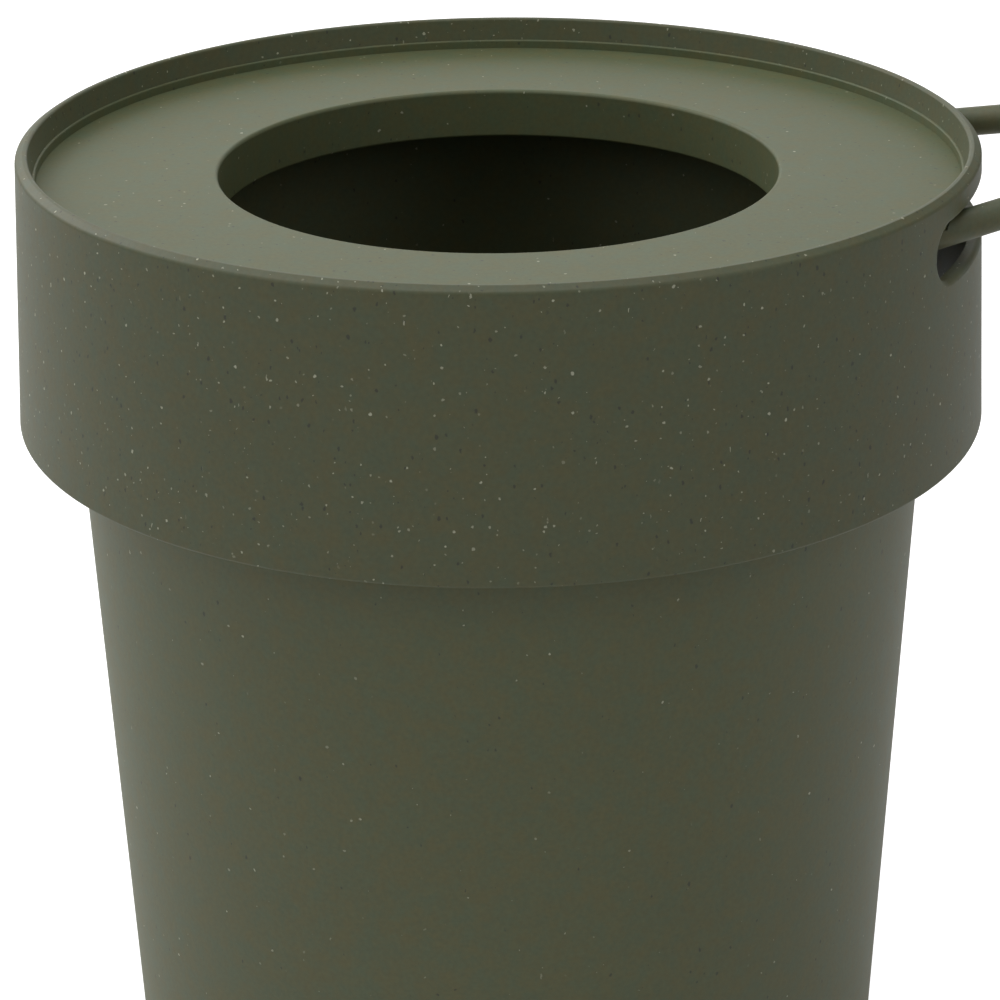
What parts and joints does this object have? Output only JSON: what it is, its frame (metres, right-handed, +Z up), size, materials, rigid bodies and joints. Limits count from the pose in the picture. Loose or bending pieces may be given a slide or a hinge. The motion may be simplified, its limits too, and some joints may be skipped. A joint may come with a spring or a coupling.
{
  "type": "waste bin",
  "caption": "Round tapered worktop waste bin with a deep lift-off lid, a recessed top plate with a round drop hole, and a loop handle through a slot in the lid.",
  "frame": {"origin": "on the standing surface, on the tub's axis", "axes": "+Z up along the tub's axis, +X from the axis towards the loop handle, +Y to the back with the loop on the right"},
  "size_m": [0.2356, 0.195, 0.2224],
  "materials": {
    "tub_plastic": "matte, fine speckle",
    "lid_plastic": "matte, fine speckle",
    "loop_plastic": "matte, fine speckle",
    "rubber": "matte"
  },
  "bodies": {
    "bin": {"bin_body": "tub_plastic", "anti_slip_disc": "rubber"},
    "lid": {"lid_band": "lid_plastic", "lid_plate": "lid_plastic", "friction_bush_front": "rubber", "friction_bush_back": "rubber"},
    "loop": {"loop_handle": "loop_plastic"}
  },
  "joints": [
    {"name": "lid_lift", "type": "slide", "parent": "bin", "child": "lid", "axis": [0, 0, 1], "range_m": [0, 0.06]},
    {"name": "loop_swing", "type": "hinge", "parent": "lid", "child": "loop", "pos_m": [0.072, 0, 0.20785], "axis": [0, 1, 0], "range_deg": [0, 13.6]}
  ]
}
